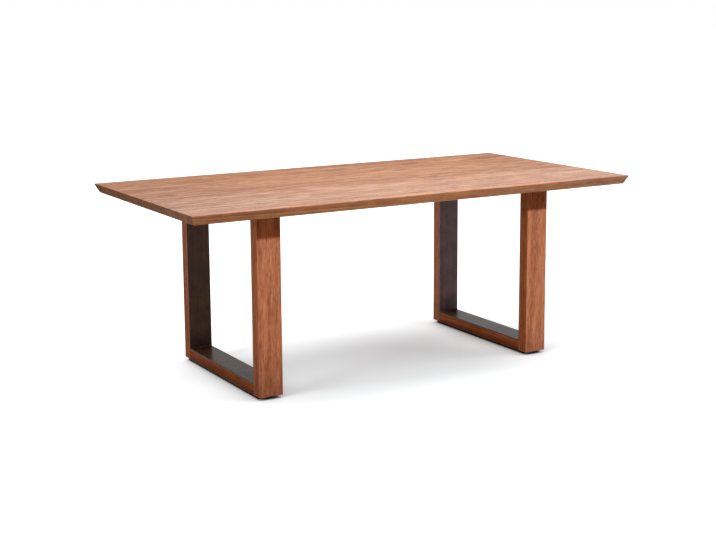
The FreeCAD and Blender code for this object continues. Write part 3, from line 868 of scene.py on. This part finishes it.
def beech_finish():
    """Steamed beech, with short flecks along the grain."""
    finish, tree, shader = new_finish("beech_tenon")
    spot = object_spot(tree)
    figure = stretched_noise(tree, spot, (90.0, 6.0, 90.0), detail=3.0)
    flecks = remap(tree, stretched_noise(tree, spot, (900.0, 160.0, 900.0), detail=1.0), 0.60, 0.70)
    colour = mix_colour(tree, remap(tree, figure, 0.35, 0.65), BEECH_DARK, BEECH_PALE)
    colour = mix_colour(tree, weigh(tree, flecks, 0.6), colour, BEECH_FLECK)
    gloss = remap(tree, figure, 0.35, 0.65, 0.70, 0.58)
    join_finish(tree, shader, colour, gloss, flecks, strength=0.3, depth=0.0002)
    return finish


beech = beech_finish()
for side in RING_COATS:
    dress(f"{side}_rail_tenons", beech)
print("tenons dressed:", len(RING_COATS))

# %% [markdown]
# ## Zinc on the bolts and inserts
# Bolts and inserts are bright zinc plate. Its crystals show as faint patches, and fingers and
# spanners leave marks. Metal has no colour of its own beside what it mirrors, so the shader's
# Metallic is full, and the patches only change how bright the mirror is.

# %% Dress the fasteners
ZINC_DULL = screen_colour(170, 168, 160)
ZINC_BRIGHT = screen_colour(208, 209, 206)


def zinc_finish():
    """Bright zinc plate on steel, with faint crystals and handling marks."""
    finish, tree, shader = new_finish("zinc_plated_steel")
    shader.inputs["Metallic"].default_value = 1.0
    spot = object_spot(tree)
    crystals = add_node(tree, "ShaderNodeTexVoronoi", {"Vector": spot, "Scale": 420.0})
    marks = stretched_noise(tree, spot, (300.0, 1200.0, 300.0), detail=3.0, roughness=0.6)
    tone = calc(tree, "ADD", weigh(tree, crystals.outputs["Distance"], 0.5), weigh(tree, marks, 0.5))
    colour = mix_colour(tree, remap(tree, tone, 0.25, 0.65), ZINC_DULL, ZINC_BRIGHT)
    gloss = remap(tree, marks, 0.35, 0.70, 0.28, 0.46)
    join_finish(tree, shader, colour, gloss, marks, strength=0.2, depth=0.0001)
    return finish


zinc = zinc_finish()
fasteners = ("threaded_inserts", "top_bolts")
for name in fasteners:
    dress(name, zinc)
print("fasteners dressed:", fasteners)

# %% [markdown]
# ## Felt
# Under each end of a runner sits a pad of pressed felt, so the table slides without marking a
# floor. Felt is tangled fibre, so the finish is a very fine noise over soft patches, nearly without
# gloss and with the pale bloom that Sheen gives.

# %% Mix the felt
FELT_DARK = screen_colour(48, 44, 42)
FELT_PALE = screen_colour(92, 86, 82)


def felt_finish():
    """Grey pressed felt: tangled fibres, soft patches and a pale bloom."""
    finish, tree, shader = new_finish("pressed_felt")
    shader.inputs["Sheen Weight"].default_value = 0.4
    spot = object_spot(tree)
    tangle = stretched_noise(tree, spot, (1500.0, 1500.0, 2600.0), detail=4.0, roughness=0.7)
    patches = stretched_noise(tree, spot, (120.0, 120.0, 120.0), detail=2.0)
    tone = calc(tree, "ADD", weigh(tree, tangle, 0.6), weigh(tree, patches, 0.4))
    colour = mix_colour(tree, remap(tree, tone, 0.35, 0.65), FELT_DARK, FELT_PALE)
    gloss = remap(tree, tangle, 0.3, 0.7, 0.98, 0.86)
    join_finish(tree, shader, colour, gloss, tangle, strength=0.8, depth=0.0006)
    return finish


felt = felt_finish()
print("felt ready")

# %% [markdown]
# ## Felt pads
# A die cuts the pad, so its corners are round, and pressing leaves its rim a little soft. A plain
# block can't show that. The pad starts as a block, its standing edges are bevelled into round
# corners, and then both rims are bevelled soft. A copy of it goes to the other end.

# %% Cut the felt pads
FELT_LENGTH = 0.060
FELT_CORNER = 0.010
FELT_RIM = 0.0009


def finished_piece(name, shape, finish):
    """Turns a bmesh into a piece of the table that rides on the frame."""
    bmesh.ops.recalc_face_normals(shape, faces=shape.faces)
    mesh = bpy.data.meshes.new(name)
    shape.to_mesh(mesh)
    shape.free()
    mesh.materials.append(finish)
    piece = bpy.data.objects.new(name, mesh)
    scene.collection.objects.link(piece)
    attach(piece, "root")
    return piece


def round_over(shape, edges, offset, segments):
    """Bevels edges into a quarter round."""
    bmesh.ops.bevel(
        shape, geom=edges, offset=offset, offset_type="OFFSET", affect="EDGES",
        segments=segments, profile=0.5, material=-1)


def copy_along_y(shape, geometry, distance):
    """Copies part of a shape and moves the copy back by that distance."""
    copied = bmesh.ops.duplicate(shape, geom=geometry)["geom"]
    points = [item for item in copied if isinstance(item, bmesh.types.BMVert)]
    bmesh.ops.translate(shape, vec=(0.0, distance, 0.0), verts=points)


def cut_felt_pads(node_name):
    """Two rounded pads in the places of a node's plain ones; the bmesh holds both."""
    low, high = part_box(node_name)
    size = high - low
    size.y = FELT_LENGTH
    shape = bmesh.new()
    block = bmesh.ops.create_cube(shape, size=1.0)["verts"]
    bmesh.ops.scale(shape, vec=size, verts=block)
    bmesh.ops.translate(shape, vec=low + size / 2, verts=block)
    standing = [edge for edge in shape.edges if abs(edge.verts[0].co.z - edge.verts[1].co.z) > 0.001]
    round_over(shape, standing, FELT_CORNER, segments=6)
    flat_faces = [face for face in shape.faces if abs(face.normal.z) > 0.9]
    rims = {edge for face in flat_faces for edge in face.edges}
    round_over(shape, list(rims), FELT_RIM, segments=3)
    pad = list(shape.verts) + list(shape.edges) + list(shape.faces)
    copy_along_y(shape, pad, high.y - low.y - FELT_LENGTH)
    return shape


for side in RING_COATS:
    node_name = f"{side}_felt_pads"
    piece = finished_piece(f"{side}_rounded_felt", cut_felt_pads(node_name), felt)
    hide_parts(node_name)
    print(piece.name, len(piece.data.polygons), "faces")

# %% [markdown]
# ## Batten screws
# One screw per stave holds the anti-warp batten. Its head bears on the web of the channel, inside
# the groove, so nothing sticks out under the top, and the slot lets the stave creep sideways. A
# screw is a turned part, so its half outline is drawn once and spun about its axis. The six-lobed
# drive recess is pressed, not turned: the ring of points round it is pushed in and out six times. The
# staves have no pilot holes, so the part of the screw that would be in the wood isn't made, and its
# point stops just under the roof of the groove.

# %% Turn the batten screws
SCREW_STEPS = 36
DRIVE_LOBES = 6
LOBE_DEPTH = 0.16
WEB_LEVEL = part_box("anti_warp_batten")[0].z
STAVE_WIDTH = 0.125
SCREWED_STAVES = 6
MILLIMETRE = 0.001

# Half outline of a screw, from the floor of its recess round the head to the tip: radius and height
# above the web, in millimetres.
SCREW_OUTLINE = (
    (0.0, -1.3), (1.7, -1.3), (1.9, -3.0), (2.6, -3.1), (4.0, -2.7), (5.0, -1.8), (5.5, -0.6), (5.4, 0.0),
    (2.2, 0.0), (2.2, 8.0), (0.4, 9.9), (0.0, 9.9),
)
# The rim of the recess has a radius between these two, and lies below the web.
RECESS_RIM = (1.5 * MILLIMETRE, 2.0 * MILLIMETRE)


def press_recess(shape):
    """Pushes the rim of the recess in and out, once for each lobe."""
    for vert in shape.verts:
        radius = math.hypot(vert.co.x, vert.co.y)
        if RECESS_RIM[0] < radius < RECESS_RIM[1] and vert.co.z < -MILLIMETRE:
            lobe = 1.0 + LOBE_DEPTH * math.cos(DRIVE_LOBES * math.atan2(vert.co.y, vert.co.x))
            vert.co.x *= lobe
            vert.co.y *= lobe


def turn_screws():
    """Six screws in a row along the batten."""
    shape = bmesh.new()
    points = []
    for radius, height in SCREW_OUTLINE:
        points.append(shape.verts.new((radius * MILLIMETRE, 0.0, height * MILLIMETRE)))
    outline = [shape.edges.new(pair) for pair in zip(points, points[1:])]
    bmesh.ops.spin(
        shape, geom=points + outline, cent=(0.0, 0.0, 0.0), axis=(0.0, 0.0, 1.0), angle=2 * math.pi,
        steps=SCREW_STEPS, use_merge=True)
    bmesh.ops.remove_doubles(shape, verts=shape.verts, dist=0.00001)
    press_recess(shape)
    first = list(shape.verts) + list(shape.edges) + list(shape.faces)
    first_place = -STAVE_WIDTH * (SCREWED_STAVES - 1) / 2
    bmesh.ops.translate(shape, vec=(0.0, first_place, WEB_LEVEL), verts=shape.verts)
    for number in range(1, SCREWED_STAVES):
        copy_along_y(shape, first, number * STAVE_WIDTH)
    return shape


screws = finished_piece("batten_screws", turn_screws(), zinc)
print("screws:", SCREWED_STAVES, "faces:", len(screws.data.polygons))

# %% [markdown]
# ## Weld beads
# The four flats of a ring are mitred and welded. The outside of the corner is ground flat, because
# the oak lies against it, and the inside keeps a small bead under the black coat. A bead is a
# quarter round that swells a little with every drop of metal. It is drawn once as a closed outline
# and pushed along the corner step by step, each step a little fatter or thinner.

# %% Lay the weld beads
BEAD_LEG = 0.0030
BEAD_STEP = 0.0011
BEAD_ARC = 6
BEAD_TIP = 0.3
BEAD_TAPER = 0.004
BEAD_MARGIN = 0.002
RIPPLE = 0.10
RIPPLE_STEPS = 3


def bead_outline(shape, corner, inward_y, inward_z):
    """The closed quarter round at the start of a bead; gives its edges."""
    points = [shape.verts.new(corner)]
    for number in range(BEAD_ARC + 1):
        angle = number / BEAD_ARC * math.pi / 2
        across = Vector((0.0, inward_y * math.cos(angle), inward_z * math.sin(angle)))
        points.append(shape.verts.new(corner + across * BEAD_LEG * BEAD_TIP))
    return [shape.edges.new(pair) for pair in zip(points, points[1:] + points[:1])]


def lay_bead(shape, corner, inward_y, inward_z, length):
    """A rippled bead along X in an inside corner, starting at that point."""
    loop = bead_outline(shape, corner, inward_y, inward_z)
    bmesh.ops.contextual_create(shape, geom=loop)
    steps = round(length / BEAD_STEP)
    for step in range(1, steps + 1):
        grown = bmesh.ops.extrude_edge_only(shape, edges=loop)["geom"]
        ring = [item for item in grown if isinstance(item, bmesh.types.BMVert)]
        loop = [item for item in grown if isinstance(item, bmesh.types.BMEdge)]
        loop = [edge for edge in loop if edge.verts[0] in ring and edge.verts[1] in ring]
        travelled = length * step / steps
        to_end = min(travelled, length - travelled)
        rounded_end = min(1.0, BEAD_TIP + to_end / BEAD_TAPER)
        ripple = 1.0 + RIPPLE * math.cos(2 * math.pi * step / RIPPLE_STEPS)
        leg = BEAD_LEG * rounded_end * ripple
        for vert in ring:
            across = Vector((0.0, vert.co.y - corner.y, vert.co.z - corner.z))
            if across.length > 0.0001:
                across *= leg / across.length
            vert.co = (corner.x + travelled, corner.y + across.y, corner.z + across.z)
    bmesh.ops.contextual_create(shape, geom=loop)


def bead_ring(side):
    """The four beads of one ring."""
    low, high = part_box(f"{side}_liner_base")
    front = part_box(f"{side}_liner_front")[1].y
    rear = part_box(f"{side}_liner_rear")[0].y
    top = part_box(f"{side}_liner_top_bar")[0].z
    shape = bmesh.new()
    for place_y, inward_y in ((front, 1.0), (rear, -1.0)):
        for place_z, inward_z in ((high.z, 1.0), (top, -1.0)):
            corner = Vector((low.x + BEAD_MARGIN, place_y, place_z))
            lay_bead(shape, corner, inward_y, inward_z, high.x - low.x - 2 * BEAD_MARGIN)
    return shape


for side in RING_COATS:
    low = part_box(f"{side}_liner_front")[0]
    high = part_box(f"{side}_liner_rear")[1]
    coat = steel_finish(f"{side}_beads", low, high, ROLLED_BACK, BASE_COAT)
    piece = finished_piece(f"{side}_weld_beads", bead_ring(side), coat)
    for face in piece.data.polygons:
        face.use_smooth = True
    print(piece.name, len(piece.data.polygons), "faces")
